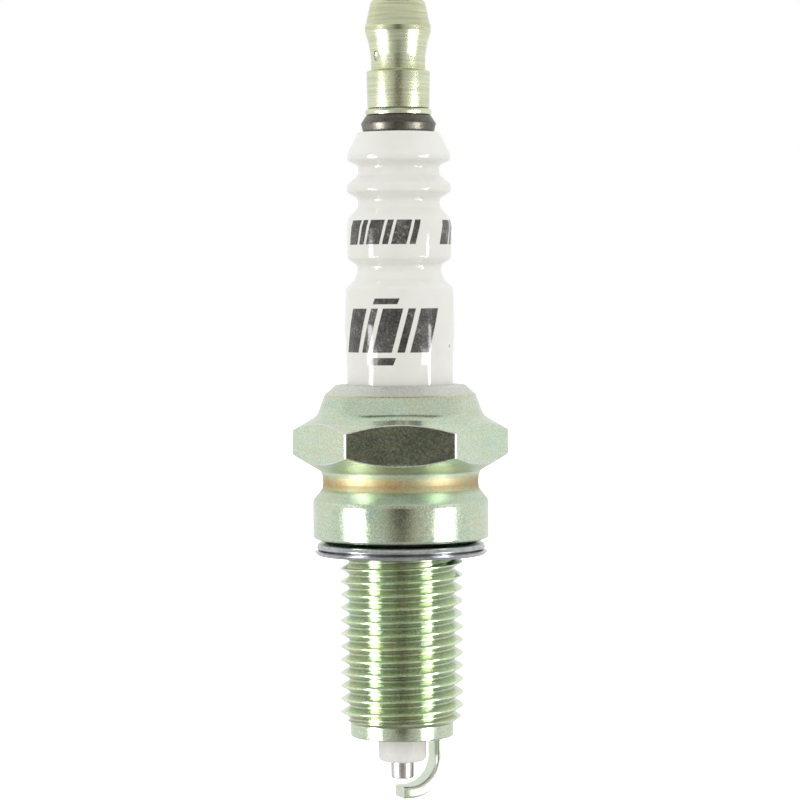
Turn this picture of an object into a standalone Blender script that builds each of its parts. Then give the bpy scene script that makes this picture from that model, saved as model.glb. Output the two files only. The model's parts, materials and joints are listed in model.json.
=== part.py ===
# Spark plug, M12 x 1.25 thread, 18 mm hexagon, 19 mm reach class, with a screwed-on terminal nut.
# Written in millimetres and built in metres. Z is the plug's axis and points at the terminal.
# Z = 0 is the lower face of the gasket, which seats on the cylinder head.
import math

import bmesh
import bpy
from mathutils import Matrix, Vector

mm = 0.001
facets = 36
smallFacets = 24
arcSteps = 1
gap = 0.05

# terminal
nutTop = 52.9
nutBottom = 42.56
washerTop = 42.5
washerBottom = 41.95
washerBore = 2.2
collarTop = 41.9
stakeMark = {"radius": 0.5, "floor": 2.3, "z": 47.5, "azimuth": 218}
terminalThread = {"pitch": 0.7, "major": 2.0, "minor": 1.55, "crest": 42.3, "top": 49.9, "facets": 12}
nutClearance = 0.1

# insulator and what is sealed inside it
insulatorTop = 40.3
noseEnd = -19.85
noseRadius = 2.31
stackBore = 2.0
stackRadius = stackBore - gap
shelfRadius = 5.09
studEnd = 22.0
resistorTop = 19.0
resistorBottom = 11.0
headTop = 8.0
headSeat = 6.4
electrodeBore = 1.3
electrodeRadius = 1.12
electrodeTip = -21.52
coreRadius = 0.65
coreEnd = -19.5

# shell
lipTop = 16.28
lipBore = 5.15
shellBore = 6.3
hexFlat = 9.0
hexCorner = 10.32
flangeRadius = 8.42
flangeBottom = 1.3
shellEnd = -17.42
pilotRadius = 4.95
neckRadius = 5.2
thread = {"pitch": 1.25, "major": 5.9, "minor": 5.12, "crest": -1.965, "facets": 18}

# ground electrode: a strap that leaves the shell's end behind +X and hooks under the tip
strapWidth = 2.4
strapThickness = 1.13
strapInner = 3.08
strapAzimuth = 22
strapBend = 2.65
strapFace = -22.3
strapPastAxis = 0.3


def clearScene():
    for thing in list(bpy.data.objects):
        bpy.data.objects.remove(thing, do_unlink=True)
    for collection in list(bpy.data.collections):
        bpy.data.collections.remove(collection)


def newCollection(name):
    collection = bpy.data.collections.new(name)
    bpy.context.scene.collection.children.link(collection)
    return collection


def material(name, colour, roughness, metallic):
    made = bpy.data.materials.new(name)
    made.use_nodes = True
    shader = made.node_tree.nodes["Principled BSDF"]
    shader.inputs["Base Color"].default_value = (*colour, 1)
    shader.inputs["Roughness"].default_value = roughness
    shader.inputs["Metallic"].default_value = metallic
    made.diffuse_color = (*colour, 1)
    return made


def addObject(name, mesh, collection, look=None):
    made = bpy.data.objects.new(name, mesh)
    collection.objects.link(made)
    if look:
        mesh.materials.append(look)
    return made


def asCutter(made):
    made.hide_render = True
    made.display_type = "WIRE"
    return made


def rounded(corners, closed=False):
    """Turn (radius, z, corner radius) points into an outline whose corners are arcs."""
    outline = []
    count = len(corners)
    for i, corner in enumerate(corners):
        here = Vector(corner[:2])
        bend = corner[2] if len(corner) > 2 else 0
        if bend == 0 or (not closed and i in (0, count - 1)):
            outline.append(here)
            continue
        back = (Vector(corners[i - 1][:2]) - here).normalized()
        ahead = (Vector(corners[(i + 1) % count][:2]) - here).normalized()
        half = back.angle(ahead) / 2
        middle = here + (back + ahead).normalized() * bend / math.sin(half)
        start = here + back * bend / math.tan(half) - middle
        end = here + ahead * bend / math.tan(half) - middle
        sweep = start.angle(end)
        for step in range(arcSteps + 1):
            share = step / arcSteps
            spoke = start * math.sin((1 - share) * sweep) + end * math.sin(share * sweep)
            outline.append(middle + spoke / math.sin(sweep))
    return outline


def turned(name, corners, collection, look=None, closed=False, count=facets):
    """Spin an outline about Z. It runs down the outer side, and a closed outline makes a ring."""
    outline = rounded(corners, closed)
    mesh = bpy.data.meshes.new(name)
    ends = len(outline) if closed else len(outline) - 1
    edges = [(i, (i + 1) % len(outline)) for i in range(ends)]
    mesh.from_pydata([(r * mm, 0, z * mm) for r, z in outline], edges, [])
    made = addObject(name, mesh, collection, look)
    spin = made.modifiers.new("turn", "SCREW")
    spin.axis = "Z"
    spin.angle = math.tau
    spin.steps = spin.render_steps = count
    spin.use_merge_vertices = True
    spin.merge_threshold = 0.001 * mm
    spin.use_smooth_shade = False
    return made


def boolean(made, operand, operation):
    step = made.modifiers.new(operation.lower(), "BOOLEAN")
    step.operation = operation
    step.object = operand
    step.solver = "EXACT"


def threadedRod(name, size, low, high, collection, clearance=0):
    """A solid right-hand screw, cut square at both ends. A tap is larger all round by the clearance."""
    pitch = size["pitch"]
    count = size["facets"]
    crest = pitch / 16 + clearance / 2
    root = pitch / 2 if clearance else 0.42 * pitch
    major = size["major"] + clearance
    minor = size["minor"] + clearance
    wave = [(minor, -root), (major, -crest), (major, crest), (minor, root)]
    if not clearance:
        wave = [(minor, -pitch / 2), *wave, (minor, pitch / 2)]
    start = size["crest"] - pitch * (math.ceil((size["crest"] - low) / pitch) + 1)
    turns = math.ceil((high - start) / pitch) + 1
    bm = bmesh.new()
    verts = [bm.verts.new((r * mm, 0, (start + z) * mm)) for r, z in wave]
    edges = [bm.edges.new(pair) for pair in zip(verts, verts[1:])]
    bmesh.ops.spin(
        bm, geom=[*verts, *edges], axis=(0, 0, 1), cent=(0, 0, 0), steps=turns * count,
        dvec=(0, 0, pitch / count * mm), angle=math.tau * turns,
    )
    bmesh.ops.remove_doubles(bm, verts=bm.verts, dist=0.001 * mm)
    for z, up in ((low, -1), (high, 1)):
        cut = bmesh.ops.bisect_plane(
            bm, geom=[*bm.verts, *bm.edges, *bm.faces], plane_co=(0, 0, z * mm),
            plane_no=(0, 0, up), clear_outer=True, dist=0.00001 * mm,
        )["geom_cut"]
        bmesh.ops.edgeloop_fill(bm, edges=[e for e in cut if isinstance(e, bmesh.types.BMEdge)])
    bmesh.ops.recalc_face_normals(bm, faces=bm.faces)
    mesh = bpy.data.meshes.new(name)
    bm.to_mesh(mesh)
    bm.free()
    return asCutter(addObject(name, mesh, collection))


def cylinder(name, radius, low, high, collection, count):
    bm = bmesh.new()
    bmesh.ops.create_cone(
        bm, cap_ends=True, segments=count, radius1=radius * mm, radius2=radius * mm,
        depth=(high - low) * mm, matrix=Matrix.Translation((0, 0, (low + high) / 2 * mm)),
    )
    mesh = bpy.data.meshes.new(name)
    bm.to_mesh(mesh)
    bm.free()
    return asCutter(addObject(name, mesh, collection))


def buildTerminalNut(parts, cutters, look):
    nut = turned("terminal_nut", [
        (0, nutTop),
        (2.55, nutTop, 0.45),
        (3.0, 50.7),
        (3.14, 50.35, 0.1),
        (3.14, 49.85, 0.1),
        (2.8, 48.9),
        (2.55, 47.6, 1.0),
        (2.55, 46.22, 0.12),
        (3.03, 46.08, 0.1),
        (2.95, nutBottom, 0.1),
        (0, nutBottom),
    ], parts, look)
    tap = threadedRod("nut_tap", terminalThread, nutBottom - 0.5, 50.5, cutters, nutClearance)
    boolean(nut, tap, "DIFFERENCE")
    punch = cylinder("stake_punch", stakeMark["radius"], stakeMark["floor"], 4, cutters, 12)
    azimuth = math.radians(stakeMark["azimuth"])
    punch.matrix_world = (Matrix.Translation((0, 0, stakeMark["z"] * mm))
                          @ Matrix.Rotation(azimuth, 4, "Z") @ Matrix.Rotation(math.pi / 2, 4, "Y"))
    boolean(nut, punch, "DIFFERENCE")


def buildTerminalWasher(parts, look):
    turned("terminal_washer", [
        (washerBore, washerTop),
        (3.05, washerTop, 0.08),
        (3.18, 42.28),
        (3.1, washerBottom, 0.08),
        (washerBore, washerBottom),
    ], parts, look, closed=True)


def buildTerminalStud(parts, cutters, look):
    grip = 1.75
    knurl = []
    for z in (24.6, 23.9, 23.2):
        knurl += [(stackRadius, z), (grip, z - 0.2), (grip, z - 0.4), (stackRadius, z - 0.6)]
    tip = terminalThread["top"]
    stud = turned("terminal_stud", [
        (0, tip - 0.8),
        (1.2, tip - 0.8),
        (1.2, collarTop),
        (3.1, collarTop, 0.1),
        (3.58, 41.15, 0.15),
        (3.4, insulatorTop + gap, 0.1),
        (stackRadius, insulatorTop + gap),
        *knurl,
        (stackRadius, studEnd),
        (0, studEnd),
    ], parts, look, count=smallFacets)
    envelope = asCutter(turned("stud_thread_envelope", [
        (0, tip),
        (1.4, tip),
        (2.2, tip - 0.8),
        (2.2, collarTop - 1),
        (0, collarTop - 1),
    ], cutters, count=smallFacets))
    turns = threadedRod("stud_thread", terminalThread, collarTop - 0.15, tip + 0.2, cutters)
    boolean(turns, envelope, "INTERSECT")
    boolean(stud, turns, "UNION")


def buildInsulator(parts, look):
    turned("insulator", [
        (stackBore, insulatorTop),
        (3.92, insulatorTop),
        (4.95, 38.15, 0.5),
        (4.9, 37.62),
        (3.88, 37.15, 0.45),
        (3.88, 36.25, 0.6),
        (4.97, 35.35),
        (4.97, 34.62, 0.35),
        (3.9, 33.98, 0.45),
        (3.93, 33.15, 0.7),
        (4.82, 32.2, 0.5),
        (4.99, 31.3, 0.6),
        (4.95, 28.25, 0.45),
        (4.02, 27.65, 0.4),
        (4.02, 27.0, 0.6),
        (4.3, 26.25),
        (5.12, 25.5, 0.3),
        (5.24, 22.0),
        (5.2, 19.6),
        (shelfRadius, 18.2),
        (shelfRadius, 11.95),
        (6.0, 11.95),
        (6.2, 11.75),
        (6.2, 3.0),
        (3.85, 0.3),
        (3.85, -3.3),
        (3.0, -3.9),
        (noseRadius, -15.5),
        (noseRadius, noseEnd, 0.45),
        (electrodeBore, noseEnd),
        (electrodeBore, 6.2),
        (stackBore, 7.0),
    ], parts, look, closed=True)


def buildConductor(parts, looks):
    """The conducting glass, the resistor and the electrode, stacked down the insulator's bore."""
    for name, top, bottom, look in (
        ("upper_glass_seal", studEnd - gap, resistorTop + gap, looks["glass"]),
        ("resistor", resistorTop, resistorBottom, looks["resistor"]),
        ("lower_glass_seal", resistorBottom - gap, headTop + gap, looks["glass"]),
    ):
        turned(name, [(0, top), (stackRadius, top), (stackRadius, bottom), (0, bottom)],
               parts, look, count=smallFacets)
    bore = coreRadius + gap
    turned("center_electrode", [
        (0, coreEnd - gap),
        (bore, coreEnd - gap),
        (bore, headTop),
        (stackRadius - 0.15, headTop),
        (stackRadius - 0.15, 7.15),
        (electrodeRadius, headSeat),
        (electrodeRadius, -19.0),
        (electrodeRadius - 0.04, electrodeTip, 0.2),
        (0, electrodeTip),
    ], parts, looks["nickel"], count=smallFacets)
    turned("center_electrode_core", [
        (0, headTop),
        (coreRadius, headTop),
        (coreRadius, coreEnd),
        (0, coreEnd),
    ], parts, looks["copper"], count=smallFacets)


def buildShell(parts, cutters, look):
    shell = turned("shell", [
        (0, lipTop),
        (6.0, lipTop, 0.3),
        (7.15, 15.3, 0.5),
        (7.9, 13.25, 0.4),
        (hexCorner, 11.83),
        (hexCorner, 9.6),
        (7.5, 7.9),
        (7.5, 6.2),
        (8.38, 5.22),
        (flangeRadius, 2.3),
        (flangeRadius, flangeBottom, 0.5),
        (neckRadius, flangeBottom),
        (neckRadius, -0.5),
        (4.5, -0.7),
        (4.5, -16.0),
        (pilotRadius, -16.2),
        (pilotRadius, shellEnd, 0.12),
        (0, shellEnd),
    ], parts, look)
    prism = cylinder("hexagon", hexFlat / math.cos(math.radians(30)), -30, 30, cutters, 6)
    prism.matrix_world = Matrix.Rotation(math.radians(30), 4, "Z")
    boolean(shell, prism, "INTERSECT")
    envelope = asCutter(turned("shell_thread_envelope", [
        (0, 0.1),
        (4.8, 0.1),
        (6.1, -1.0),
        (6.1, -14.95),
        (4.8, -16.7),
        (0, -16.7),
    ], cutters))
    envelope.rotation_euler.z = math.pi / facets
    turns = threadedRod("shell_thread", thread, -17, 0.4, cutters)
    boolean(turns, envelope, "INTERSECT")
    boolean(shell, turns, "UNION")
    bore = asCutter(turned("shell_bore", [
        (0, lipTop + 1),
        (lipBore, lipTop + 1),
        (lipBore, 15.5),
        (shellBore, 15.3),
        (shellBore, 2.88),
        (3.97, 0.2),
        (3.97, -3.95),
        (3.2, -4.5),
        (3.2, -5.4),
        (3.3, -5.5),
        (3.3, shellEnd - 1),
        (0, shellEnd - 1),
    ], cutters))
    boolean(shell, bore, "DIFFERENCE")


def buildPacking(parts, looks):
    """Two rings with talc between them, under the crimped lip, and the washer on the inner ledge."""
    inner = shelfRadius + gap
    outer = shellBore - gap
    middle = (inner + outer) / 2
    for name, top, bottom in (("upper_packing_ring", 15.2, 14.1), ("lower_packing_ring", 13.1, 12.02)):
        half = (top + bottom) / 2
        turned(name, [
            (middle, top), (outer, half + 0.25), (outer, half - 0.25),
            (middle, bottom), (inner, half - 0.25), (inner, half + 0.25),
        ], parts, looks["steel"], closed=True)
    turned("talc_packing", [
        (inner + 0.03, 13.95), (outer, 13.95), (outer, 13.25), (inner + 0.03, 13.25),
    ], parts, looks["talc"], closed=True)
    turned("seat_washer", [
        (3.25, -3.81), (3.85, -3.39), (3.85, -3.94), (3.25, -4.37),
    ], parts, looks["steel"], closed=True)


def buildGasket(parts, look):
    """A crush washer folded from sheet: two lips outside, with a groove between them."""
    turned("gasket", [
        (6.2, flangeBottom - gap),
        (7.95, flangeBottom - gap, 0.35),
        (8.0, 0.55),
        (7.75, 0.48),
        (8.3, 0.32),
        (8.0, 0),
        (6.3, 0),
        (5.65, 0.35),
        (5.65, 0.6),
        (6.2, 0.7),
    ], parts, look, closed=True)


def arc(centre, radius, start, end, steps):
    """Points along an arc in the XZ plane, from one angle in degrees to another."""
    angles = [math.radians(start + (end - start) * i / steps) for i in range(steps + 1)]
    return [(centre[0] + radius * math.cos(a), centre[1] + radius * math.sin(a)) for a in angles]


def buildGroundElectrode(parts, look):
    """A flat J outline, thickened to the strap's width, with its long edges rounded."""
    root = shellEnd - gap
    bend = (strapInner - strapBend, strapFace + strapBend)
    outline = [(strapInner + strapThickness, root)]
    outline += arc(bend, strapBend + strapThickness, 0, -90, 8)
    outline += [(-strapPastAxis, strapFace - strapThickness), (-strapPastAxis, strapFace)]
    outline += arc(bend, strapBend, -90, 0, 8)
    outline.append((strapInner, root))
    bm = bmesh.new()
    side = bm.faces.new([bm.verts.new((x * mm, -strapWidth / 2 * mm, z * mm)) for x, z in outline])
    swept = bmesh.ops.extrude_face_region(bm, geom=[side], use_keep_orig=True)["geom"]
    moved = [v for v in swept if isinstance(v, bmesh.types.BMVert)]
    bmesh.ops.translate(bm, verts=moved, vec=(0, strapWidth * mm, 0))
    bmesh.ops.recalc_face_normals(bm, faces=bm.faces)
    mesh = bpy.data.meshes.new("ground_electrode")
    bm.to_mesh(mesh)
    bm.free()
    strap = addObject("ground_electrode", mesh, parts, look)
    strap.rotation_euler.z = math.radians(strapAzimuth)
    edge = strap.modifiers.new("round_edges", "BEVEL")
    edge.width = 0.35 * mm
    edge.segments = 2
    edge.limit_method = "ANGLE"
    edge.angle_limit = math.radians(40)


def build():
    clearScene()
    parts = newCollection("spark_plug")
    cutters = newCollection("cutters")
    looks = {
        "zinc": material("zinc_passivate", (0.62, 0.68, 0.50), 0.3, 1.0),
        "collar": material("oxidised_steel", (0.16, 0.14, 0.11), 0.4, 1.0),
        "ceramic": material("glazed_alumina", (0.90, 0.91, 0.88), 0.12, 0.0),
        "glass": material("conducting_glass", (0.12, 0.12, 0.13), 0.4, 0.0),
        "resistor": material("resistor_compound", (0.18, 0.16, 0.15), 0.8, 0.0),
        "nickel": material("nickel_alloy", (0.46, 0.43, 0.40), 0.35, 1.0),
        "copper": material("copper", (0.78, 0.42, 0.28), 0.35, 1.0),
        "steel": material("plain_steel", (0.55, 0.56, 0.58), 0.35, 1.0),
        "talc": material("talc", (0.86, 0.86, 0.82), 0.9, 0.0),
        "gasket": material("gasket_steel", (0.70, 0.74, 0.80), 0.25, 1.0),
        "strap": material("plated_nickel_strap", (0.62, 0.68, 0.60), 0.3, 1.0),
    }
    buildTerminalNut(parts, cutters, looks["zinc"])
    buildTerminalWasher(parts, looks["zinc"])
    buildTerminalStud(parts, cutters, looks["collar"])
    buildInsulator(parts, looks["ceramic"])
    buildConductor(parts, looks)
    buildShell(parts, cutters, looks["zinc"])
    buildPacking(parts, looks)
    buildGasket(parts, looks["gasket"])
    buildGroundElectrode(parts, looks["strap"])
    bpy.context.view_layer.update()


build()
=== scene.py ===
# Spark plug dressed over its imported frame. Sizes are in millimetres until they reach a mesh.
import json
import math

import bmesh
import bpy
from mathutils import Matrix, Vector


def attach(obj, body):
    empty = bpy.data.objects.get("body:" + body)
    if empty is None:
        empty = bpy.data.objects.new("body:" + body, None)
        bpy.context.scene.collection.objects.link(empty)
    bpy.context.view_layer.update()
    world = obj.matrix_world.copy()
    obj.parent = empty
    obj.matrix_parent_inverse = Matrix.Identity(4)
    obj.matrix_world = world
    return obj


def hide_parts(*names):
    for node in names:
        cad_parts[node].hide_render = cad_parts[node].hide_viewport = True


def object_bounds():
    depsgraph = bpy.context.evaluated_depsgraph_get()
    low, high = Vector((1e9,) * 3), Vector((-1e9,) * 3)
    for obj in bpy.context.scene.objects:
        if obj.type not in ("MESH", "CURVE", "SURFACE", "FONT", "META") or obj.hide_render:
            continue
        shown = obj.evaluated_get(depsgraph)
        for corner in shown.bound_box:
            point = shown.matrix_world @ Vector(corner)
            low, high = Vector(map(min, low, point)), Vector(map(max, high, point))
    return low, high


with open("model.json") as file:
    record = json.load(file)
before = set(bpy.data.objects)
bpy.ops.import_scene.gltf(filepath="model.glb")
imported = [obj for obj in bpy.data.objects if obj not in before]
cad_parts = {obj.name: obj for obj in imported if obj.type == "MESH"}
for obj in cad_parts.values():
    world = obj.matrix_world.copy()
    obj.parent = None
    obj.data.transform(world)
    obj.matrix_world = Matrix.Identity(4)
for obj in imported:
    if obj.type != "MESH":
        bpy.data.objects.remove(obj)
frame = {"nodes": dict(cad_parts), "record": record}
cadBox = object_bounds()
nodes = frame["nodes"]
scene = bpy.context.scene
mm = 0.001
print("frame loaded:", len(nodes), "nodes")


def rounded(corners, steps=6, closed=False):
    # (radius, z, corner radius) points become an outline with arcs at its corners
    outline = []
    last = len(corners) - 1
    for i, corner in enumerate(corners):
        here = Vector(corner[:2])
        bend = corner[2] if len(corner) > 2 else 0
        if bend == 0 or (not closed and i in (0, last)):
            outline.append(here)
            continue
        back = (Vector(corners[i - 1][:2]) - here).normalized()
        ahead = (Vector(corners[(i + 1) % len(corners)][:2]) - here).normalized()
        half = back.angle(ahead) / 2
        middle = here + (back + ahead).normalized() * bend / math.sin(half)
        start = here + back * bend / math.tan(half) - middle
        end = here + ahead * bend / math.tan(half) - middle
        sweep = start.angle(end)
        for step in range(steps + 1):
            share = step / steps
            spoke = start * math.sin((1 - share) * sweep) + end * math.sin(share * sweep)
            outline.append(middle + spoke / math.sin(sweep))
    return outline


def lathe(outline, closed=False, steps=144):
    bm = bmesh.new()
    verts = [bm.verts.new((r * mm, 0, z * mm)) for r, z in outline]
    pairs = list(zip(verts, verts[1:]))
    if closed:
        pairs.append((verts[-1], verts[0]))
    edges = [bm.edges.new(pair) for pair in pairs]
    bmesh.ops.spin(
        bm, geom=[*verts, *edges], cent=(0, 0, 0), axis=(0, 0, 1), angle=math.tau,
        steps=steps, use_merge=True,
    )
    bmesh.ops.remove_doubles(bm, verts=bm.verts, dist=0.0004 * mm)
    bmesh.ops.recalc_face_normals(bm, faces=bm.faces)
    return bm


def only(kind, geom):
    return [item for item in geom if isinstance(item, kind)]


def screw(size, low, high, grow=0.0, bore=0.0, limit=None):
    # one pitch of the screw's outline swept up the helix, cut square at both ends, and closed by caps or
    # by a bore. limit(z) is the largest radius at a height, which makes the chamfers.
    pitch, count = size["pitch"], size["steps"]
    major, minor = size["major"] + grow, size["minor"] + grow
    crest, foot = size["crestHalf"] + grow / 2, size["rootStart"]
    flank = [(minor + (major - minor) * k / 4, foot - (foot - crest) * k / 4) for k in (3, 2, 1)]
    wave = rounded([
        (minor, -pitch / 2), (minor, -foot, size["rootRound"]), *[(r, -z) for r, z in reversed(flank)],
        (major, -crest, size["crestRound"]), (major, crest, size["crestRound"]), *flank,
        (minor, foot, size["rootRound"]), (minor, pitch / 2),
    ], size["arcSteps"])
    start = size["crest"] - pitch * (math.ceil((size["crest"] - low) / pitch) + 1)
    turns = math.ceil((high - start) / pitch) + 1
    bm = bmesh.new()
    verts = [bm.verts.new((r * mm, 0, (start + z) * mm)) for r, z in wave]
    edges = [bm.edges.new(pair) for pair in zip(verts, verts[1:])]
    bmesh.ops.spin(
        bm, geom=[*verts, *edges], cent=(0, 0, 0), axis=(0, 0, 1), angle=math.tau,
        steps=count, dvec=(0, 0, pitch / count * mm),
    )
    oneTurn = [*bm.verts, *bm.edges, *bm.faces]
    for turn in range(1, turns):
        again = bmesh.ops.duplicate(bm, geom=oneTurn)["geom"]
        bmesh.ops.translate(bm, verts=only(bmesh.types.BMVert, again), vec=(0, 0, turn * pitch * mm))
    bmesh.ops.remove_doubles(bm, verts=bm.verts, dist=0.001 * mm)
    rims = []
    for z, up in ((low, -1), (high, 1)):
        cut = bmesh.ops.bisect_plane(
            bm, geom=[*bm.verts, *bm.edges, *bm.faces], plane_co=(0, 0, z * mm),
            plane_no=(0, 0, up), clear_outer=True, dist=0.00001 * mm,
        )["geom_cut"]
        rim = only(bmesh.types.BMEdge, cut)
        if not bore:
            bmesh.ops.edgeloop_fill(bm, edges=rim)
            continue
        grown = bmesh.ops.extrude_edge_only(bm, edges=rim)["geom"]
        for vert in only(bmesh.types.BMVert, grown):
            vert.co.xy = vert.co.xy.normalized() * bore * mm
        rims.append([e for e in only(bmesh.types.BMEdge, grown) if e.is_boundary])
    if bore:
        bmesh.ops.bridge_loops(bm, edges=rims[0] + rims[1])
    if limit:
        for vert in bm.verts:
            radius = vert.co.xy.length
            most = limit(vert.co.z / mm) * mm
            if radius > most:
                vert.co.xy *= most / radius
    bmesh.ops.recalc_face_normals(bm, faces=bm.faces)
    return bm


def smoothed(mesh, sharp):
    # smooth, apart from edges sharper than an angle in degrees
    mesh.shade_smooth()
    mesh.set_sharp_from_angle(angle=math.radians(sharp))


def toObject(bm, name, look=None, sharp=30):
    mesh = bpy.data.meshes.new(name)
    bm.to_mesh(mesh)
    bm.free()
    smoothed(mesh, sharp)
    made = bpy.data.objects.new(name, mesh)
    scene.collection.objects.link(made)
    if look:
        mesh.materials.append(look)
    return made


def carve(made, tool, sharp):
    # one exact cut, applied, after which the tool is gone
    step = made.modifiers.new("carve", "BOOLEAN")
    step.operation = "DIFFERENCE"
    step.object = tool
    step.solver = "EXACT"
    depsgraph = bpy.context.evaluated_depsgraph_get()
    result = bpy.data.meshes.new_from_object(made.evaluated_get(depsgraph))
    made.modifiers.clear()
    spare = made.data
    made.data = result
    bpy.data.meshes.remove(spare)
    bpy.data.objects.remove(tool, do_unlink=True)
    smoothed(result, sharp)


def place(made, body, slotName, *stoodFor):
    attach(made, body)
    if stoodFor:
        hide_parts(*stoodFor)
    print("made", made.name, len(made.data.polygons), "faces")


def newLook(name, **settings):
    look = bpy.data.materials.new(name)
    look.use_nodes = True
    shader = look.node_tree.nodes["Principled BSDF"]
    for key, value in settings.items():
        shader.inputs[key.replace("_", " ")].default_value = value
    return look, look.node_tree, shader


def add(tree, kind, values=(), **settings):
    made = tree.nodes.new(kind)
    for key, value in settings.items():
        setattr(made, key, value)
    for key, value in dict(values).items():
        if isinstance(value, bpy.types.NodeSocket):
            tree.links.new(value, made.inputs[key])
        else:
            made.inputs[key].default_value = value
    return made


def objectPlace(tree):
    return add(tree, "ShaderNodeTexCoord").outputs["Object"]


def noiseOf(tree, where, scale, detail=3.0, stretch=None, move=0.0):
    if stretch or move:
        where = add(tree, "ShaderNodeMapping", {
            "Vector": where, "Scale": stretch or (1, 1, 1), "Location": (move, move, move),
        }).outputs["Vector"]
    return add(tree, "ShaderNodeTexNoise", {
        "Vector": where, "Scale": scale, "Detail": detail, "Roughness": 0.6,
    }).outputs["Fac"]


def mathOf(tree, operation, a, b=0.5):
    return add(tree, "ShaderNodeMath", {0: a, 1: b}, operation=operation).outputs[0]


def spread(tree, value, low, high, newLow=0.0, newHigh=1.0):
    return add(tree, "ShaderNodeMapRange", {
        "Value": value, "From Min": low, "From Max": high, "To Min": newLow, "To Max": newHigh,
    }).outputs["Result"]


def mixed(tree, factor, a, b, blend="MIX"):
    made = add(tree, "ShaderNodeMix", {0: factor, 6: a, 7: b}, data_type="RGBA", blend_type=blend)
    return made.outputs[2]


def greyOf(tree, value):
    return add(tree, "ShaderNodeCombineColor", {"Red": value, "Green": value, "Blue": value}).outputs[0]


def ramp(tree, factor, stops):
    made = add(tree, "ShaderNodeValToRGB", {"Fac": factor})
    bar = made.color_ramp
    while len(bar.elements) < len(stops):
        bar.elements.new(0.5)
    for element, (at, colour) in zip(bar.elements, stops):
        element.position = at
        element.color = (*colour, 1)
    return made.outputs["Color"]


def bumped(tree, height, strength, distance, under=None):
    values = {"Height": height, "Strength": strength, "Distance": distance * mm}
    if under:
        values["Normal"] = under
    return add(tree, "ShaderNodeBump", values).outputs["Normal"]


def heightOf(tree, where):
    return add(tree, "ShaderNodeSeparateXYZ", {"Vector": where}).outputs["Z"]


def radiusOf(tree, where):
    flat = add(tree, "ShaderNodeVectorMath", {0: where, 1: (1, 1, 0)}, operation="MULTIPLY").outputs[0]
    return add(tree, "ShaderNodeVectorMath", {0: flat}, operation="LENGTH").outputs["Value"]


def bandOf(tree, z, low, high, blur):
    # one between two heights, fading to nothing across each of them
    return mathOf(tree, "MULTIPLY", spread(tree, z, (low - blur) * mm, (low + blur) * mm),
                  spread(tree, z, (high + blur) * mm, (high - blur) * mm))


def zincLook(name, colours, zones=(), lineStrength=0.25, grain=0.3, roughness=(0.2, 0.36), streak=0.03,
             rings=(), dull=()):
    # plated steel: patches of passivation colour, fine grain, and lathe lines that run round it.
    # zones are tints by height, rings are painted shade and painted light that multiply the colour by
    # distance from the axis, and dull adds roughness by height.
    look, tree, shader = newLook(name, Metallic=1.0)
    where = objectPlace(tree)
    patches = noiseOf(tree, where, 260, 4, move=0.013)
    specks = noiseOf(tree, where, 6500, 2)
    fine = noiseOf(tree, where, 15000, 1, move=0.4)
    lines = noiseOf(tree, where, 1.0, 3, stretch=(150, 150, 5200))
    broadLines = noiseOf(tree, where, 1.0, 2, stretch=(90, 90, 1600), move=0.7)
    hue = mathOf(tree, "ADD", mathOf(tree, "MULTIPLY", patches, 0.6),
                 mathOf(tree, "MULTIPLY", broadLines, 0.4))
    colour = ramp(tree, spread(tree, hue, 0.34, 0.66), colours)
    z = heightOf(tree, where)
    for low, high, blur, tint, share in zones:
        inside = bandOf(tree, z, low, high, blur)
        patchy = spread(tree, patches, 0.3, 0.62, 0.55 * share, share)
        colour = mixed(tree, mathOf(tree, "MULTIPLY", inside, patchy), colour, (*tint, 1))
    grainAndPaintedShading = mathOf(tree, "ADD", spread(tree, specks, 0.3, 0.7, 1 - grain * 0.5, 1 + grain * 0.2),
                   spread(tree, lines, 0.32, 0.68, -streak, streak * 0.5))
    # painted shade and painted light: each ring darkens or lightens the colour by distance from the axis
    for start, end, low, high in rings:
        paintedRingShading = spread(tree, radiusOf(tree, where), start * mm, end * mm, low, high)
        grainAndPaintedShading = mathOf(tree, "MULTIPLY", grainAndPaintedShading, paintedRingShading)
    tree.links.new(mixed(tree, 1.0, colour, greyOf(tree, grainAndPaintedShading), "MULTIPLY"), shader.inputs["Base Color"])
    rough = spread(tree, mathOf(tree, "ADD", patches, specks), 0.75, 1.25, *roughness)
    for low, high, blur, extra in dull:
        inside = bandOf(tree, z, low, high, blur)
        rough = mathOf(tree, "ADD", rough, mathOf(tree, "MULTIPLY", inside, extra))
    tree.links.new(rough, shader.inputs["Roughness"])
    level = bumped(tree, lines, lineStrength, 0.006)
    level = bumped(tree, specks, grain * 0.4, 0.01, level)
    tree.links.new(bumped(tree, fine, grain * 0.25, 0.005, level), shader.inputs["Normal"])
    return look


def metalLook(name, dark, bright, roughness=(0.25, 0.45), grain=0.3, scale=5200, lines=0.15):
    # plain metal with a mottled tone, fine pits and light turning marks
    look, tree, shader = newLook(name, Metallic=1.0)
    where = objectPlace(tree)
    patches = noiseOf(tree, where, 420, 5, move=0.02)
    specks = noiseOf(tree, where, scale, 3)
    rings = noiseOf(tree, where, 1.0, 2, stretch=(200, 200, 7000))
    tone = spread(tree, mathOf(tree, "ADD", patches, specks), 0.7, 1.3)
    tree.links.new(mixed(tree, tone, (*dark, 1), (*bright, 1)), shader.inputs["Base Color"])
    tree.links.new(spread(tree, patches, 0.3, 0.7, *roughness), shader.inputs["Roughness"])
    level = bumped(tree, rings, lines, 0.006)
    tree.links.new(bumped(tree, specks, grain, 0.01, level), shader.inputs["Normal"])
    return look


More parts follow.
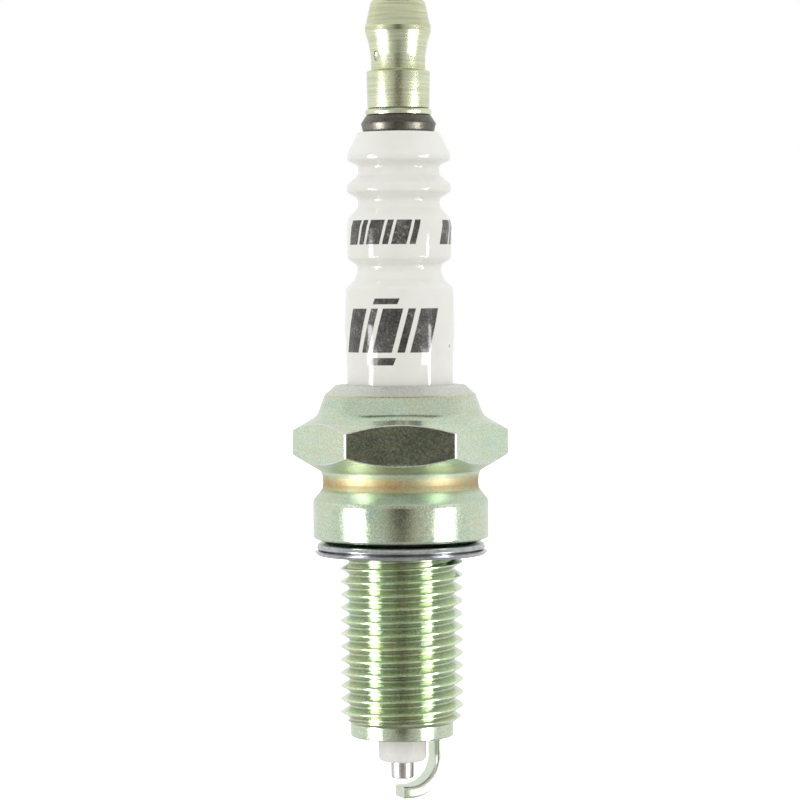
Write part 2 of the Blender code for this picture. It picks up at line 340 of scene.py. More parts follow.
def ceramicLook(name):
    # white alumina, glazed above the shell and bare, chalky and matt on the nose below it
    look, tree, shader = newLook(name, IOR=1.52, Subsurface_Weight=0.06)
    shader.inputs["Subsurface Radius"].default_value = (0.9 * mm, 0.9 * mm, 0.8 * mm)
    shader.inputs["Subsurface Scale"].default_value = 1.0
    where = objectPlace(tree)
    z = heightOf(tree, where)
    bare = spread(tree, z, 1.0 * mm, -1.0 * mm)
    clouds = noiseOf(tree, where, 300, 3)
    glaze = mixed(tree, spread(tree, clouds, 0.35, 0.65), (0.79, 0.79, 0.74, 1), (0.82, 0.82, 0.79, 1))
    chalk = mixed(tree, spread(tree, noiseOf(tree, where, 2600, 4), 0.3, 0.7),
                  (0.76, 0.755, 0.72, 1), (0.84, 0.83, 0.80, 1))
    # a few iron specks under the glaze, each about a tenth of a millimetre
    cells = add(tree, "ShaderNodeTexVoronoi", {"Vector": where, "Scale": 420})
    speckle = spread(tree, cells.outputs["Distance"], 0.075, 0.045)
    chosen = mathOf(tree, "GREATER_THAN", add(
        tree, "ShaderNodeSeparateColor", {"Color": cells.outputs["Color"]}).outputs["Red"], 0.86)
    speckle = mathOf(tree, "MULTIPLY", speckle, chosen)
    glaze = mixed(tree, mathOf(tree, "MULTIPLY", speckle, 0.75), glaze, (0.16, 0.15, 0.13, 1))
    tree.links.new(mixed(tree, bare, glaze, chalk), shader.inputs["Base Color"])
    tree.links.new(spread(tree, bare, 0, 1, 0.06, 0.62), shader.inputs["Roughness"])
    ripple = bumped(tree, noiseOf(tree, where, 350, 2), 0.08, 0.03)
    grit = bumped(tree, noiseOf(tree, where, 9000, 2), 0.35, 0.01)
    rough = add(tree, "ShaderNodeMix", {0: bare, 4: ripple, 5: grit}, data_type="VECTOR").outputs[1]
    tree.links.new(rough, shader.inputs["Normal"])
    return look


def powderLook(name, dark, bright, roughness, scale=3000, grain=0.5):
    # pressed powder, resistor mix and sintered glass: grains of two tones in a dull body
    look, tree, shader = newLook(name)
    where = objectPlace(tree)
    grains = noiseOf(tree, where, scale, 4)
    cells = add(tree, "ShaderNodeTexVoronoi", {"Vector": where, "Scale": scale * 0.8}).outputs["Distance"]
    tone = spread(tree, mathOf(tree, "ADD", grains, cells), 0.5, 1.3)
    tree.links.new(mixed(tree, tone, (*dark, 1), (*bright, 1)), shader.inputs["Base Color"])
    tree.links.new(spread(tree, grains, 0.3, 0.7, roughness * 0.8, min(1, roughness * 1.1)),
                   shader.inputs["Roughness"])
    tree.links.new(bumped(tree, tone, grain, 0.03), shader.inputs["Normal"])
    return look


def inkLook(name):
    # fired ink: dark grey with lighter grains, under the same gloss as the glaze
    look, tree, shader = newLook(name, IOR=1.52)
    where = objectPlace(tree)
    grains = noiseOf(tree, where, 5200, 3)
    cloud = noiseOf(tree, where, 900, 2)
    tone = spread(tree, mathOf(tree, "ADD", mathOf(tree, "MULTIPLY", grains, 1.3), cloud), 0.9, 1.45)
    tree.links.new(ramp(tree, tone, [
        (0.0, (0.040, 0.037, 0.034)), (0.5, (0.082, 0.078, 0.072)), (0.85, (0.14, 0.135, 0.125)),
        (1.0, (0.26, 0.26, 0.24)),
    ]), shader.inputs["Base Color"])
    tree.links.new(spread(tree, grains, 0.3, 0.7, 0.08, 0.16), shader.inputs["Roughness"])
    tree.links.new(bumped(tree, grains, 0.12, 0.006), shader.inputs["Normal"])
    return look


green = (0.57, 0.68, 0.50)
paleGreen = (0.60, 0.71, 0.57)
straw = (0.62, 0.67, 0.50)
teal = (0.54, 0.68, 0.57)
rose = (0.63, 0.65, 0.54)

nutZinc = zincLook("nutZinc", [
    (0.0, (0.62, 0.69, 0.49)), (0.35, (0.66, 0.73, 0.54)), (0.62, (0.70, 0.72, 0.50)),
    (0.85, (0.64, 0.72, 0.55)), (1.0, (0.69, 0.67, 0.48)),
], zones=[(49.9, 53.5, 0.12, (0.66, 0.67, 0.43), 0.75), (46.0, 46.5, 0.08, (0.58, 0.57, 0.30), 0.7)],
    lineStrength=0.9, grain=0.06, roughness=(0.22, 0.34), streak=0.2)
# painted light: its ring makes everything beyond 9 mm from the axis, which is the hexagon, up to 6% lighter
shellZinc = zincLook("shellZinc", [
    (0.0, teal), (0.3, green), (0.5, paleGreen), (0.68, straw), (0.85, green), (1.0, rose),
], zones=[(15.35, 16.6, 0.1, (0.74, 0.74, 0.71), 0.95), (15.15, 15.32, 0.06, (0.70, 0.60, 0.40), 0.8),
          (6.2, 7.75, 0.2, (0.46, 0.43, 0.24), 1.0), (6.55, 7.35, 0.25, (0.44, 0.30, 0.14), 0.8)],
    lineStrength=0.14, grain=0.45, roughness=(0.13, 0.24), rings=[(8.9, 9.1, 1.0, 1.06)],
    dull=[(5.1, 8.9, 0.3, 0.2), (6.3, 7.7, 0.2, 0.16), (15.3, 16.4, 0.1, 0.25)])
# painted highlight: a paler, whiter zinc for the hexagon's rounded edges, so that they show as bright lines
paintedHighlightEdgeZinc = zincLook("paintedHighlightEdgeZinc", [(0.0, (0.66, 0.68, 0.66)), (1.0, (0.82, 0.80, 0.82))],
                    grain=0.5, roughness=(0.3, 0.45))
# painted shade and painted light: its ring darkens the thread's roots to 0.8 of the colour and lightens its
# crests to 1.25
threadZinc = zincLook("threadZinc", [
    (0.0, (0.60, 0.71, 0.60)), (0.3, (0.63, 0.72, 0.55)), (0.55, (0.62, 0.73, 0.52)),
    (0.75, (0.66, 0.70, 0.50)), (1.0, (0.66, 0.75, 0.62)),
], lineStrength=0.08, grain=0.6, roughness=(0.12, 0.24), rings=[(5.05, 5.8, 0.8, 1.25)])
collarSteel = metalLook("collarSteel", (0.09, 0.085, 0.07), (0.24, 0.225, 0.195), (0.3, 0.46), 0.4)
gasketSteel = metalLook("gasketSteel", (0.34, 0.355, 0.365), (0.56, 0.575, 0.585), (0.13, 0.26), 0.22,
                        4200)
nickelAlloy = metalLook("nickelAlloy", (0.40, 0.385, 0.36), (0.62, 0.60, 0.57), (0.28, 0.42), 0.3)
strapNickel = metalLook("strapNickel", (0.56, 0.63, 0.50), (0.78, 0.84, 0.72), (0.18, 0.32), 0.45, 7000,
                        lines=0.0)
weldMetal = metalLook("weldMetal", (0.22, 0.23, 0.22), (0.46, 0.46, 0.42), (0.35, 0.55), 0.7, 2600)
ceramic = ceramicLook("glazedAlumina")
ink = inkLook("firedInk")
innerLooks = {
    "plain_steel": metalLook("plainSteel", (0.42, 0.42, 0.43), (0.62, 0.62, 0.62), (0.3, 0.45)),
    "copper": metalLook("copperCore", (0.62, 0.27, 0.16), (0.86, 0.48, 0.34), (0.25, 0.4)),
    "sealing_glass": powderLook("conductingGlass", (0.03, 0.03, 0.035), (0.14, 0.13, 0.12), 0.4, 2600),
    "resistor_compound": powderLook("resistorMix", (0.05, 0.045, 0.04), (0.26, 0.24, 0.21), 0.8),
    "talc": powderLook("pressedTalc", (0.70, 0.70, 0.65), (0.90, 0.90, 0.86), 0.95, 2200, 0.6),
}
print("finishes mixed")


insulatorSize = {
    "outer": [
        (2.0, 40.3), (3.92, 40.3, 0.12), (4.95, 38.15, 0.6), (4.9, 37.62, 0.3), (3.88, 37.15, 0.45),
        (3.88, 36.25, 0.62), (4.97, 35.35, 0.3), (4.97, 34.62, 0.38), (3.9, 33.98, 0.48),
        (3.93, 33.15, 0.75), (4.82, 32.2, 0.5), (4.99, 31.3, 0.5), (4.95, 28.25, 0.48), (4.02, 27.65, 0.42),
        (4.02, 27.0, 0.6),
        (4.3, 26.25, 0.6), (5.12, 25.5, 0.45), (5.24, 22.0, 3.0), (5.2, 19.6, 3.0), (5.09, 18.2, 1.0),
        (5.09, 11.95), (6.0, 11.95), (6.2, 11.75), (6.2, 3.0, 0.2), (3.85, 0.3, 0.2), (3.85, -3.3, 0.2),
        (3.0, -3.9, 0.2), (2.31, -15.5), (2.31, -19.85, 0.42), (1.3, -19.85), (1.3, 6.2), (2.0, 7.0),
    ],
}


def buildInsulator():
    outline = rounded(insulatorSize["outer"], 8, closed=True)
    made = toObject(lathe(outline, closed=True, steps=168), "insulatorBody", ceramic, 32)
    place(made, "plug_body", "glazed_alumina", "insulator")
    return outline


def radiusAt(outline, z):
    # the insulator's outer radius at one height
    best = 0
    for (r0, z0), (r1, z1) in zip(outline, outline[1:]):
        if z0 != z1 and min(z0, z1) <= z <= max(z0, z1):
            best = max(best, r0 + (r1 - r0) * (z - z0) / (z1 - z0))
    return best


# plain slanted bars, broad and slim by turns, fired onto the glaze in two bands
printSize = {
    "proud": 0.008, "thickness": 0.03, "lean": 0.26, "cell": 0.16, "row": 0.2, "wrapRadius": 5.1,
    "bands": [
        {"low": 29.6, "high": 31.9, "widths": (1.5, 0.6, 1.5, 0.6, 1.5, 0.6), "gap": 0.3, "start": -5.9,
         "pause": 0.9},
        {"low": 19.4, "high": 23.55, "widths": (1.9, 0.7, 1.9, 0.7, 1.9), "gap": 0.5, "start": -5.7,
         "pause": 1.3},
    ],
    "dashes": [(-2.5, 23.95, 24.5), (-2.9, 18.2, 18.9), (13.5, 23.95, 24.5)], "dashWidth": 2.4,
    "dashLean": 1.6,
}


def addPatch(bm, outline, start, width, low, high, lean):
    # one slanted patch of print, wrapped round the insulator
    across = max(1, round(width / printSize["cell"]))
    up = max(2, round((high - low) / printSize["row"]))
    grid = bmesh.ops.create_grid(bm, x_segments=across, y_segments=up, size=0.5)["verts"]
    middle = (low + high) / 2
    for vert in grid:
        z = low + (vert.co.y + 0.5) * (high - low)
        radius = radiusAt(outline, z)
        along = start + (vert.co.x + 0.5) * width + (z - middle) * lean
        angle = along / printSize["wrapRadius"] - math.pi / 2
        reach = (radius + printSize["proud"]) * mm
        vert.co = (reach * math.cos(angle), reach * math.sin(angle), z * mm)


def buildPrint(outline):
    bm = bmesh.new()
    lean = printSize["lean"]
    girth = math.tau * printSize["wrapRadius"]
    for band in printSize["bands"]:
        groupLength = sum(band["widths"]) + len(band["widths"]) * band["gap"] + band["pause"]
        groups = int(girth / groupLength)
        for turn in range(groups):
            along = band["start"] + turn * girth / groups
            for width in band["widths"]:
                addPatch(bm, outline, along, width, band["low"], band["high"], lean)
                along += width + band["gap"]
    # short dashes above and below the wide band
    for along, low, high in printSize["dashes"]:
        addPatch(bm, outline, along, printSize["dashWidth"], low, high, lean * printSize["dashLean"])
    bmesh.ops.recalc_face_normals(bm, faces=bm.faces)
    for face in bm.faces:
        face.normal_update()
        middle = face.calc_center_median()
        if face.normal.dot(Vector((middle.x, middle.y, 0))) < 0:
            face.normal_flip()
    bmesh.ops.solidify(bm, geom=bm.faces[:], thickness=printSize["thickness"] * mm)
    bmesh.ops.recalc_face_normals(bm, faces=bm.faces)
    place(toObject(bm, "printMarks", ink, 50), "plug_body", "glazed_alumina")


buildPrint(buildInsulator())


terminalThread = {
    "pitch": 0.7, "major": 2.0, "minor": 1.55, "crest": 42.3, "crestHalf": 0.05, "rootStart": 0.29,
    "rootRound": 0.03, "crestRound": 0.015, "steps": 48, "arcSteps": 1,
}
nutSize = {
    "outer": [
        (0, 52.9), (2.55, 52.9, 0.52), (3.03, 50.7, 0.3), (3.14, 50.35, 0.1), (3.14, 49.85, 0.12),
        (2.83, 48.9, 1.2), (2.6, 47.6, 1.4), (2.58, 46.22, 0.1), (3.03, 46.08, 0.08), (2.95, 42.56, 0.12),
        (0, 42.56),
    ],
    "tapFoot": 42.06, "tapTop": 50.5, "clearance": 0.1,
}
# floor and outside are distances from the nut's axis
stakeMark = {
    "mouth": 0.52, "base": 0.46, "rise": 0.16, "round": 0.14, "floor": 2.3, "outside": 4, "z": 47.5,
    "azimuth": 218,
}


def buildNut():
    nut = toObject(lathe(rounded(nutSize["outer"], 8)), "terminalNut", nutZinc, 32)
    tapped = screw(terminalThread, nutSize["tapFoot"], nutSize["tapTop"], nutSize["clearance"])
    carve(nut, toObject(tapped, "tap"), 32)
    # the punch is a pin with a shallow cone for an end, so the mark has a bowl with a crisp rim
    depth = stakeMark["outside"] - stakeMark["floor"]
    base = (stakeMark["base"], stakeMark["rise"], stakeMark["round"])
    pin = rounded([(0, depth), (stakeMark["mouth"], depth), base, (0, 0)], 5)
    punch = toObject(lathe(pin, steps=48), "punch")
    around = Matrix.Rotation(math.radians(stakeMark["azimuth"]), 4, "Z")
    turn = around @ Matrix.Rotation(math.pi / 2, 4, "Y")
    out = Matrix.Translation((0, 0, stakeMark["z"] * mm)) @ turn
    punch.data.transform(out @ Matrix.Translation((0, 0, stakeMark["floor"] * mm)))
    carve(nut, punch, 32)
    place(nut, "terminal_nut", "zinc_plate", "terminal_nut")


buildNut()


washerSize = {
    "outer": [(2.2, 42.5), (3.05, 42.5, 0.1), (3.18, 42.28, 0.1), (3.1, 41.95, 0.08), (2.2, 41.95)],
}
place(toObject(lathe(rounded(washerSize["outer"], closed=True), closed=True), "terminalWasher", nutZinc),
      "terminal_washer", "zinc_plate", "terminal_washer")


studSize = {
    "outer": [
        (0, 49.1), (1.2, 49.1), (1.2, 41.9), (3.1, 41.9, 0.12), (3.58, 41.15, 0.2), (3.4, 40.35, 0.12),
        (1.95, 40.35), (1.95, 24.6), (1.75, 24.4), (1.75, 24.2), (1.95, 24.0), (1.95, 23.9), (1.75, 23.7),
        (1.75, 23.5), (1.95, 23.3), (1.95, 23.2), (1.75, 23.0), (1.75, 22.8), (1.95, 22.6), (1.95, 22.0),
        (0, 22.0),
    ],
    "threadFoot": 41.75, "tip": 49.9, "tipRadius": 1.4,
}


def buildStud():
    stud = toObject(lathe(rounded(studSize["outer"]), steps=128), "terminalStud", collarSteel, 32)
    place(stud, "plug_body", "oxidised_steel", "terminal_stud")
    foot, tip, tipRadius = studSize["threadFoot"], studSize["tip"], studSize["tipRadius"]
    made = screw(terminalThread, foot, tip, limit=lambda z: tipRadius + tip - z)
    turns = toObject(made, "studThread", collarSteel, 32)
    place(turns, "plug_body", "oxidised_steel", "terminal_stud")


buildStud()


shellSize = {
    "outer": [
        (5.15, 16.28, 0.06), (6.18, 16.28, 0.32), (7.28, 15.3, 0.5), (7.98, 13.35, 1.3), (10.32, 11.95),
        (10.32, 9.6), (7.68, 8.05, 0.25), (7.5, 7.55, 0.2), (7.44, 6.95, 0.3), (7.52, 6.35, 0.2),
        (8.36, 5.28, 0.22), (8.42, 4.9, 0.2), (8.42, 1.62, 0.3), (7.95, 1.47, 0.1), (7.3, 1.3),
        (5.2, 1.3), (5.2, 0.1), (4.5, 0), (4.5, -15.65), (4.95, -15.85, 0.1), (4.95, -17.42, 0.14),
    ],
    "bore": [
        (3.3, -17.42, 0.08), (3.3, -5.5), (3.2, -5.4), (3.2, -4.5), (3.97, -3.95), (3.97, 0.2),
        (6.3, 2.88), (6.3, 15.3), (5.15, 15.5),
    ],
    "flat": 9.0, "corner": 10.32, "cornerLand": 0.5, "landReach": (0.1, 2.6), "bevel": 0.1,
    "hexInner": 7.3, "hexAbove": 0.45, "hexBelow": 0.4, "coneInner": 7.8, "coneSpan": (9.5, 13.4),
    # each cone's inner radius and height, and the height where it meets the corner
    "coneTop": (8.38, 13.11, 11.95), "coneFoot": (7.8, 8.12, 9.6),
}


def offCorner(angle):
    # degrees from the hexagon's nearest corner. Two of its corners lie on X.
    return (math.degrees(angle) + 30) % 60 - 30


def hexReach(angle):
    # distance from the axis to the hexagon
    across = math.cos(math.radians(30 - abs(offCorner(angle))))
    return min(shellSize["corner"], shellSize["flat"] / across)


def shapeHexagon(bm):
    # meridians beside a corner slide in to its narrow land, then each ring is drawn in to the hexagon
    corner = shellSize["corner"]
    topStart, topZ, edgeTop = shellSize["coneTop"]
    footStart, footZ, edgeFoot = shellSize["coneFoot"]
    nearest, farthest = shellSize["landReach"]
    highest, lowest = topZ + shellSize["hexAbove"], footZ - shellSize["hexBelow"]
    slack = 0.0001
    for vert in bm.verts:
        radius = math.hypot(vert.co.x, vert.co.y) / mm
        z = vert.co.z / mm
        if radius < shellSize["hexInner"] or z > highest or z < lowest:
            continue
        angle = math.atan2(vert.co.y, vert.co.x)
        off = offCorner(angle)
        if nearest < abs(off) < farthest:
            angle += math.radians(math.copysign(shellSize["cornerLand"], off) - off)
        reach = hexReach(angle)
        if z > edgeTop + slack or z < edgeFoot - slack:
            start, endZ, edge = (topStart, topZ, edgeTop) if z > edgeTop else (footStart, footZ, edgeFoot)
            share = max(0.0, (radius - start) / (corner - start))
            if share > 0:
                drawnIn = start + share * (reach - start)
                z += (drawnIn - radius) * (edge - endZ) / (corner - start)
                radius = drawnIn
        elif radius > corner - 0.01:
            # the upright faces run between where the two cones meet the flat
            high = topZ + (reach - topStart) * (edgeTop - topZ) / (corner - topStart)
            low = footZ + (reach - footStart) * (edgeFoot - footZ) / (corner - footStart)
            share = (z - edgeFoot) / (edgeTop - edgeFoot)
            radius, z = reach, low + share * (high - low)
        vert.co = (radius * mm * math.cos(angle), radius * mm * math.sin(angle), z * mm)


def splitRun(start, end, count):
    # extra points along one straight run of an outline
    return [Vector(start).lerp(Vector(end), i / count) for i in range(1, count)]


def buildShell():
    outline = rounded(shellSize["outer"] + shellSize["bore"], closed=True)
    inner, corner = shellSize["coneInner"], shellSize["corner"]
    foot, top = shellSize["coneSpan"]
    fine = []
    for here, ahead in zip(outline, outline[1:] + outline[:1]):
        fine.append(here)
        outside = min(here.x, ahead.x) > inner and here.x != ahead.x
        if outside and here.y > foot and ahead.y < top and (ahead - here).length > 1:
            fine += splitRun(here, ahead, 6)
        elif abs(here.x - corner) + abs(ahead.x - corner) < 0.01:
            fine += splitRun(here, ahead, 5)
    bm = lathe(fine, closed=True)
    shapeHexagon(bm)
    bmesh.ops.recalc_face_normals(bm, faces=bm.faces)
    shell = toObject(bm, "shellBody", shellZinc, 24)
    edge = shell.modifiers.new("edgeRoundAndPaintedHighlight", "BEVEL")
    edge.width = shellSize["bevel"] * mm
    edge.segments = 3
    edge.limit_method = "ANGLE"
    edge.angle_limit = math.radians(24)
    edge.harden_normals = True
    # the rounded edges are real geometry, and their paler, whiter zinc is a painted highlight along them
    shell.data.materials.append(paintedHighlightEdgeZinc)
    edge.material = 1
    place(shell, "plug_body", "zinc_passivate", "shell")


buildShell()


shellThread = {
    "pitch": 1.25, "major": 5.9, "minor": 5.05, "crest": -1.965, "crestHalf": 0.055, "rootStart": 0.53,
    "rootRound": 0.1, "crestRound": 0.03, "steps": 80, "arcSteps": 3, "bore": 4.3, "low": -16.2,
    "high": 0.2,
    # it fades out to this radius at each end, by this depth over a run of height
    "fadeRadius": 4.8, "fadeDepth": 1.3, "topEnd": 0.5, "topRun": 1.1, "lowEnd": -16.25, "lowRun": 0.95,
}


def buildThread():
    size = shellThread
    least, depth = size["fadeRadius"], size["fadeDepth"]

    def limit(z):
        # the thread fades into the neck above and into the lead-in chamfer below
        return min(least + (size["topEnd"] - z) * depth / size["topRun"],
                   least + (z - size["lowEnd"]) * depth / size["lowRun"])

    made = screw(size, size["low"], size["high"], bore=size["bore"], limit=limit)
    turns = toObject(made, "shellThread", threadZinc, 34)
    place(turns, "plug_body", "zinc_passivate", "shell")


buildThread()


gasketSize = {
    "outer": [
        (6.2, 1.25), (7.3, 1.25, 0.3), (7.98, 1.08, 0.22), (8.08, 0.66, 0.1), (7.95, 0.53, 0.04),
        (7.55, 0.505, 0.01), (7.55, 0.47, 0.01), (8.02, 0.44, 0.02), (8.3, 0.3, 0.05), (8.02, 0, 0.12),
        (6.3, 0, 0.3), (5.65, 0.35, 0.15), (5.65, 0.6, 0.12), (6.2, 0.7, 0.1),
    ],
}
gasketBody = lathe(rounded(gasketSize["outer"], closed=True), closed=True)
place(toObject(gasketBody, "gasketRing", gasketSteel, 35), "gasket", "gasket_steel", "gasket")


electrodeSize = {
    "outer": [
        (0, -19.55), (0.7, -19.55), (0.7, 8), (1.8, 8, 0.1), (1.8, 7.15, 0.1), (1.12, 6.4, 0.1),
        (1.12, -19), (1.08, -21.52, 0.16), (0, -21.52),
    ],
}
place(toObject(lathe(rounded(electrodeSize["outer"]), steps=96), "centerElectrode", nickelAlloy, 32),
      "plug_body", "nickel_alloy", "center_electrode")


strapSize = {
    "width": 2.4, "thickness": 1.13, "inner": 3.08, "azimuth": 22, "bend": 2.65, "face": -22.3,
    "pastAxis": 0.3, "root": -17.47, "round": 0.28, "endRound": 0.07, "bendSteps": 28,
}


def arc(centre, radius, start, end, steps):
    angles = [math.radians(start + (end - start) * i / steps) for i in range(steps + 1)]
    return [(centre[0] + radius * math.cos(a), centre[1] + radius * math.sin(a)) for a in angles]


def buildStrap():
    inner, thick, bend = strapSize["inner"], strapSize["thickness"], strapSize["bend"]
    root, face, past = strapSize["root"], strapSize["face"], strapSize["pastAxis"]
    centre, steps = (inner - bend, face + bend), strapSize["bendSteps"]
    outline = [
        (inner + thick, root), *arc(centre, bend + thick, 0, -90, steps), (-past, face - thick),
        (-past, face), *arc(centre, bend, -90, 0, steps), (inner, root),
    ]
    half = strapSize["width"] / 2
    bm = bmesh.new()
    side = bm.faces.new([bm.verts.new((x * mm, -half * mm, z * mm)) for x, z in outline])
    swept = bmesh.ops.extrude_face_region(bm, geom=[side], use_keep_orig=True)["geom"]
    bmesh.ops.translate(bm, verts=only(bmesh.types.BMVert, swept), vec=(0, 2 * half * mm, 0))
    bmesh.ops.recalc_face_normals(bm, faces=bm.faces)
    near = 0.01 * mm

    def isLong(e):
        # runs along the strap, on one of its two sides, away from both ends
        a, b = e.verts
        ends = [abs(v.co.x + past * mm) < near or abs(v.co.z - root * mm) < near for v in e.verts]
        return abs(a.co.y - b.co.y) < near and not all(ends)

    bmesh.ops.bevel(
        bm, geom=[e for e in bm.edges if isLong(e)], offset=strapSize["round"] * mm, offset_type="OFFSET",
        affect="EDGES", segments=6, profile=0.5, material=-1, clamp_overlap=True,
    )
    endEdges = []
    for e in bm.edges:
        atEnd = all(abs(v.co.x + past * mm) < near / 2 for v in e.verts)
        if atEnd and len(e.link_faces) == 2 and e.calc_face_angle(0) > math.radians(40):
            endEdges.append(e)
    bmesh.ops.bevel(
        bm, geom=endEdges, offset=strapSize["endRound"] * mm, offset_type="OFFSET", affect="EDGES",
        segments=2, profile=0.5, material=-1, clamp_overlap=True,
    )
    bmesh.ops.rotate(bm, verts=bm.verts, cent=(0, 0, 0),
                     matrix=Matrix.Rotation(math.radians(strapSize["azimuth"]), 3, "Z"))
    bmesh.ops.recalc_face_normals(bm, faces=bm.faces)
    place(toObject(bm, "groundStrap", strapNickel, 35), "plug_body", "strap_nickel", "ground_electrode")


buildStrap()


weldSize = {"low": -17.56, "high": -17.36, "margin": 0.07, "cornerRound": 0.38, "round": 0.07}


def buildWeld():
    # the upset ring of metal squeezed out where the strap is welded to the shell's end
    wide = strapSize["width"] + 2 * weldSize["margin"]
    deep = strapSize["thickness"] + 2 * weldSize["margin"]
    tall = weldSize["high"] - weldSize["low"]
    bm = bmesh.new()
    bmesh.ops.create_cube(bm, size=mm)
    bmesh.ops.scale(bm, verts=bm.verts, vec=(deep, wide, tall))

    def rise(e):
        return abs(e.verts[0].co.z - e.verts[1].co.z)

    upright = [e for e in bm.edges if rise(e) > 0.01 * mm]
    bmesh.ops.bevel(bm, geom=upright, offset=weldSize["cornerRound"] * mm, affect="EDGES", segments=6,
                    profile=0.5, material=-1)
    rim = [e for e in bm.edges if rise(e) < 0.001 * mm and e.calc_face_angle(0) > 1]
    bmesh.ops.bevel(bm, geom=rim, offset=weldSize["round"] * mm, affect="EDGES", segments=3,
                    profile=0.5, material=-1)
    bmesh.ops.translate(bm, verts=bm.verts, vec=(
        (strapSize["inner"] + strapSize["thickness"] / 2) * mm, 0, (weldSize["low"] + tall / 2) * mm))
    bmesh.ops.rotate(bm, verts=bm.verts, cent=(0, 0, 0),
                     matrix=Matrix.Rotation(math.radians(strapSize["azimuth"]), 3, "Z"))
    bmesh.ops.recalc_face_normals(bm, faces=bm.faces)
    place(toObject(bm, "strapWeld", weldMetal, 35), "plug_body", "strap_nickel")


buildWeld()


# the sealed inner pieces keep their shapes and get a finish each
for part in frame["record"]["subparts"]:
    look = innerLooks.get(part.get("material_slot"))
    made = nodes.get(part["node"])
    if look and made:
        made.data.materials.clear()
        made.data.materials.append(look)
        print("finished", part["node"])


# strips and panels are only mirrored, and the fill only lights dull surfaces
lamps = {
    "leftStrip": {"azimuth": -65, "top": 24, "width": 80, "height": 300, "radiance": 14, "reach": 470},
    "rightStrip": {"azimuth": 66, "top": 24, "width": 46, "height": 300, "radiance": 14, "reach": 470},
    "leftPanel": {"azimuth": -62, "top": -12, "width": 220, "height": 260, "radiance": 6, "reach": 480},
    "rightPanel": {"azimuth": 58, "top": -12, "width": 180, "height": 260, "radiance": 6, "reach": 480},
    "frontFill": {"azimuth": 0, "top": 250, "width": 420, "height": 360, "radiance": 1.25, "reach": 520,
                  "mirrored": False},
}


def glow(name, azimuth, top, width, height, radiance, reach, mirrored=True):
    # an upright lamp facing the plug. Azimuth runs to the right of the camera.
    made = bpy.data.objects.new(name, bpy.data.lights.new(name, "AREA"))
    scene.collection.objects.link(made)
    lamp = made.data
    lamp.shape = "RECTANGLE"
    lamp.size, lamp.size_y = width * mm, height * mm
    lamp.energy = radiance * math.pi * lamp.size * lamp.size_y
    turn = math.radians(azimuth)
    away = Vector((math.sin(turn), -math.cos(turn), 0))
    made.location = away * reach * mm + Vector((0, 0, (top - height / 2) * mm))
    made.rotation_euler = away.to_track_quat("Z", "Y").to_euler()
    made.visible_camera = False
    made.visible_glossy = mirrored
    made.visible_diffuse = not mirrored


room = {
    "around": [
        (0.0, (0.95, 0.95, 0.95)), (0.35, (0.98, 0.98, 0.97)), (0.5, (0.83, 0.83, 0.82)),
        (0.75, (0.74, 0.74, 0.73)), (0.93, (0.64, 0.63, 0.60)), (0.968, (0.54, 0.52, 0.48)),
        (0.984, (0.36, 0.33, 0.29)), (0.993, (0.16, 0.145, 0.125)), (1.0, (0.085, 0.075, 0.065)),
    ],
    "roof": 0.8, "ground": 0.6, "beamHeight": 0.84, "beamShare": 0.8, "beamTone": (0.06, 0.065, 0.055, 1),
    "dullGain": 1.36,
}


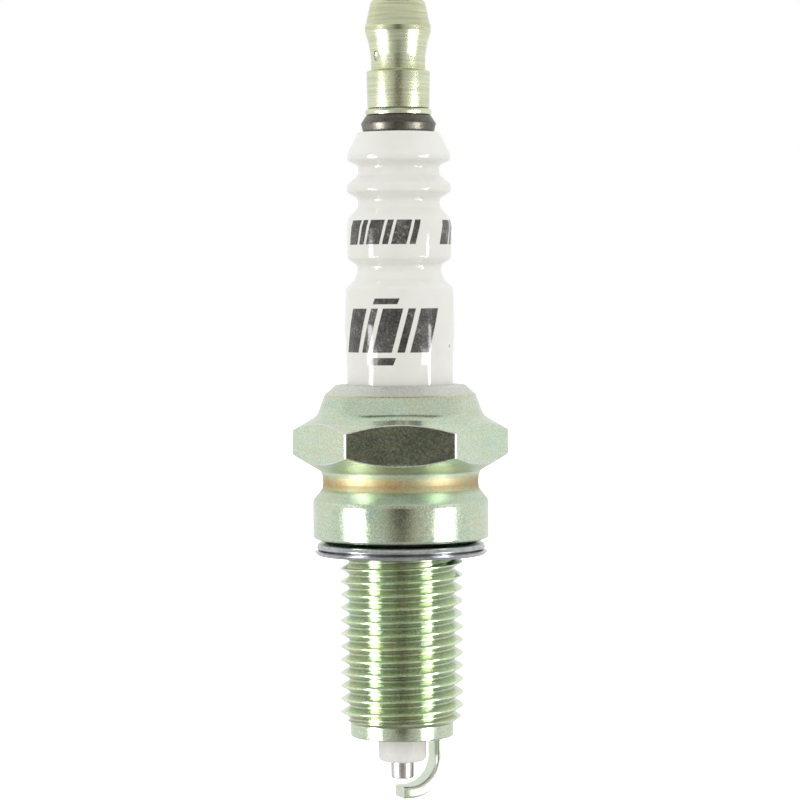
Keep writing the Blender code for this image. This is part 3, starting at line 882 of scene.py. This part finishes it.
def buildRoom():
    # a light tent: white behind, softer at the sides, dark where the camera looks in, dim below, and with
    # a dark beam overhead
    world = bpy.data.worlds.new("room")
    scene.world = world
    world.use_nodes = True
    tree = world.node_tree
    tree.nodes.clear()
    way = add(tree, "ShaderNodeTexCoord").outputs["Generated"]
    parts = add(tree, "ShaderNodeSeparateXYZ", {"Vector": way})
    around = ramp(tree, spread(tree, parts.outputs["Y"], 1, -1), room["around"])
    above = greyOf(tree, spread(tree, parts.outputs["Z"], 0.12, 0.45, 0.0, room["roof"]))
    below = greyOf(tree, spread(tree, parts.outputs["Z"], -0.25, -0.85, 1.0, room["ground"]))
    around = mixed(tree, 1.0, mixed(tree, 1.0, around, above, "LIGHTEN"), below, "MULTIPLY")
    across = mathOf(tree, "ABSOLUTE", parts.outputs["X"])
    high = mathOf(tree, "ABSOLUTE", mathOf(tree, "SUBTRACT", parts.outputs["Z"], room["beamHeight"]))
    beam = mathOf(tree, "MULTIPLY", spread(tree, across, 0.75, 0.6), spread(tree, high, 0.09, 0.05))
    ahead = spread(tree, parts.outputs["Y"], 0, -0.1, 0, room["beamShare"])
    beam = mathOf(tree, "MULTIPLY", beam, ahead)
    around = mixed(tree, beam, around, room["beamTone"])
    # dull surfaces get a little more light than the reflections show
    ray = add(tree, "ShaderNodeLightPath")
    strength = spread(tree, ray.outputs["Is Diffuse Ray"], 0, 1, 1.0, room["dullGain"])
    reflected = add(tree, "ShaderNodeBackground", {"Color": around, "Strength": strength})
    seen = add(tree, "ShaderNodeBackground", {"Color": (1, 1, 1, 1), "Strength": 1.0})
    choice = add(tree, "ShaderNodeMixShader", {
        0: ray.outputs["Is Camera Ray"], 1: reflected.outputs[0], 2: seen.outputs[0]})
    out = add(tree, "ShaderNodeOutputWorld")
    tree.links.new(choice.outputs[0], out.inputs["Surface"])


floorSize = {"half": 3000, "drop": 0.02, "glow": 0.9}


def buildFloor():
    # a glowing white table: it is seen, but the plug mirrors the tent instead and gets no shadow from it
    look, tree, shader = newLook("paleFloor", Roughness=0.9)
    tone = spread(tree, noiseOf(tree, objectPlace(tree), 90, 3), 0.3, 0.7, 0.86, 0.9)
    tree.links.new(greyOf(tree, tone), shader.inputs["Base Color"])
    shader.inputs["Emission Color"].default_value = (1, 1, 1, 1)
    shader.inputs["Emission Strength"].default_value = floorSize["glow"]
    bm = bmesh.new()
    bmesh.ops.create_grid(bm, x_segments=8, y_segments=8, size=floorSize["half"] * mm)
    bmesh.ops.translate(bm, verts=bm.verts, vec=(0, 0, cadBox[0][2] - floorSize["drop"] * mm))
    floor = toObject(bm, "floor", look)
    floor.visible_glossy = False
    floor.visible_diffuse = False
    floor.visible_shadow = False


# level with the insulator, looking down two degrees and rolled very slightly, which is in degrees
camera = {
    "distance": 290, "height": 25, "side": -0.11, "centre": 14.77, "frameWidth": 76.555, "roll": 0.36,
    "sensor": 36, "clip": 10,
}


def buildCamera():
    made = bpy.data.objects.new("camera", bpy.data.cameras.new("camera"))
    scene.collection.objects.link(made)
    stand = Vector((camera["side"], -camera["distance"], camera["height"]))
    sight = Vector((camera["side"], 0, camera["centre"])) - stand
    made.data.sensor_width = camera["sensor"]
    made.data.lens = camera["sensor"] * sight.length / camera["frameWidth"]
    made.data.clip_start = camera["clip"] * mm
    aimed = Matrix.Translation(stand * mm) @ sight.to_track_quat("-Z", "Y").to_matrix().to_4x4()
    made.matrix_world = Matrix.Rotation(math.radians(camera["roll"]), 4, "Y") @ aimed
    scene.camera = made


buildRoom()
buildFloor()
for name, settings in lamps.items():
    glow(name, **settings)
buildCamera()
scene.view_settings.view_transform = "Standard"
print("studio set")
